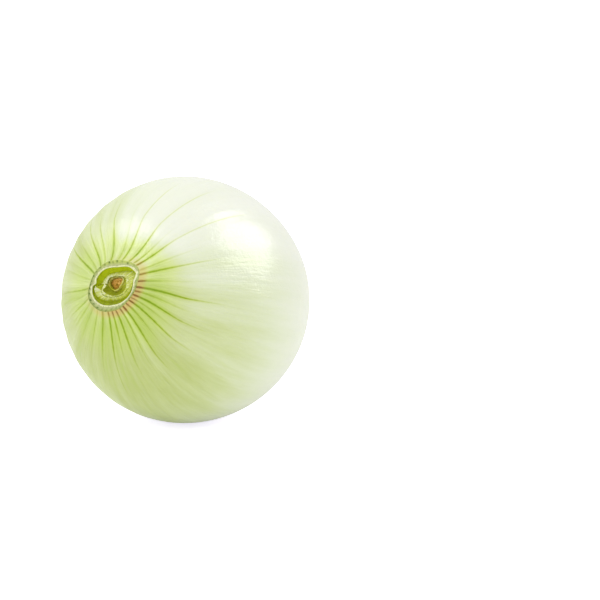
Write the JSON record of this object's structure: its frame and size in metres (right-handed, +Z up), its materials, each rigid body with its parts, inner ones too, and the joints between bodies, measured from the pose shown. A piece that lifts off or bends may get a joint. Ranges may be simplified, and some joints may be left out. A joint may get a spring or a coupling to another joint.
{
  "type": "onion",
  "caption": "Peeled white onion lying on its side, its neck cut across to show the rolled green inner scales, with fine green veins running down from it.",
  "frame": {"origin": "middle of the onion's footprint box, on the surface it rests on", "axes": "+Z up; the bulb's axis lies across X, with the cut neck towards -Y and raised 16.5 degrees, and the root end towards +Y"},
  "size_m": [0.0844, 0.084, 0.083],
  "materials": {
    "bulb_flesh": "moist satin skin, pale yellow-green turning nearly white towards the roots, with fine green veins from the neck",
    "inner_flesh": "moist yellow-green flesh with fine lengthwise streaks, pale at its cut rim",
    "heart_flesh": "satin pale green flesh, torn at its rim",
    "withered_tip": "dry, crumpled and brown",
    "cork": "dry matt tan cork with short root stubs"
  },
  "bodies": {
    "root": {"bulb": "bulb_flesh", "inner_scale": "inner_flesh", "heart_scale": "heart_flesh", "dry_tip": "withered_tip", "root_plate": "cork"}
  },
  "joints": []
}
